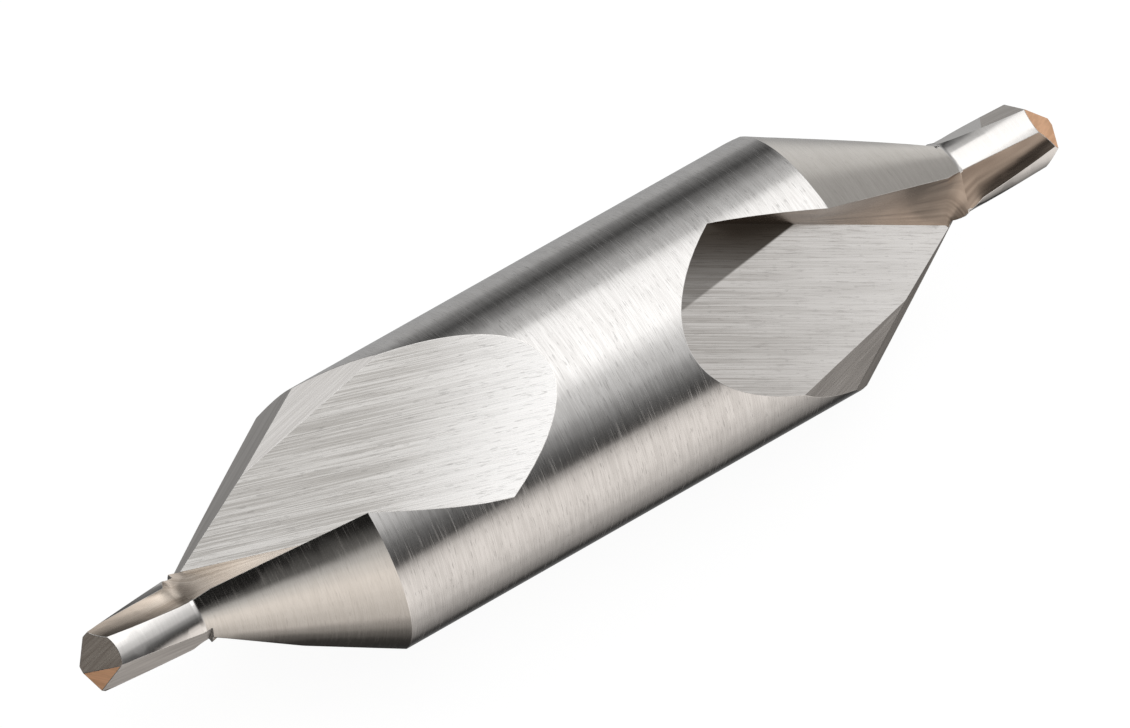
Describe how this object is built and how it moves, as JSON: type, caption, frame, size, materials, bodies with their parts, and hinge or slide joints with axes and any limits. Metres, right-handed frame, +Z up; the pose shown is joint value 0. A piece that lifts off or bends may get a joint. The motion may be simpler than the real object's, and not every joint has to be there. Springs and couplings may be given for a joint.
{
  "type": "centre drill",
  "caption": "Double-ended centre drill: a plain ground body with a fluted countersink cone and a short pilot point at each end, for drilling 60 degree lathe centre holes.",
  "frame": {"origin": "middle of the tool on the body's axis", "axes": "+X along the body's axis towards the tip of the right-hand end in the picture, +Z up"},
  "size_m": [0.0412, 0.01, 0.01],
  "materials": {
    "ground_steel": "ground high speed steel, bright on the pilots, straw and brown tinted in the chip grooves"
  },
  "bodies": {
    "root": {"centre_drill": "ground_steel"}
  },
  "joints": []
}
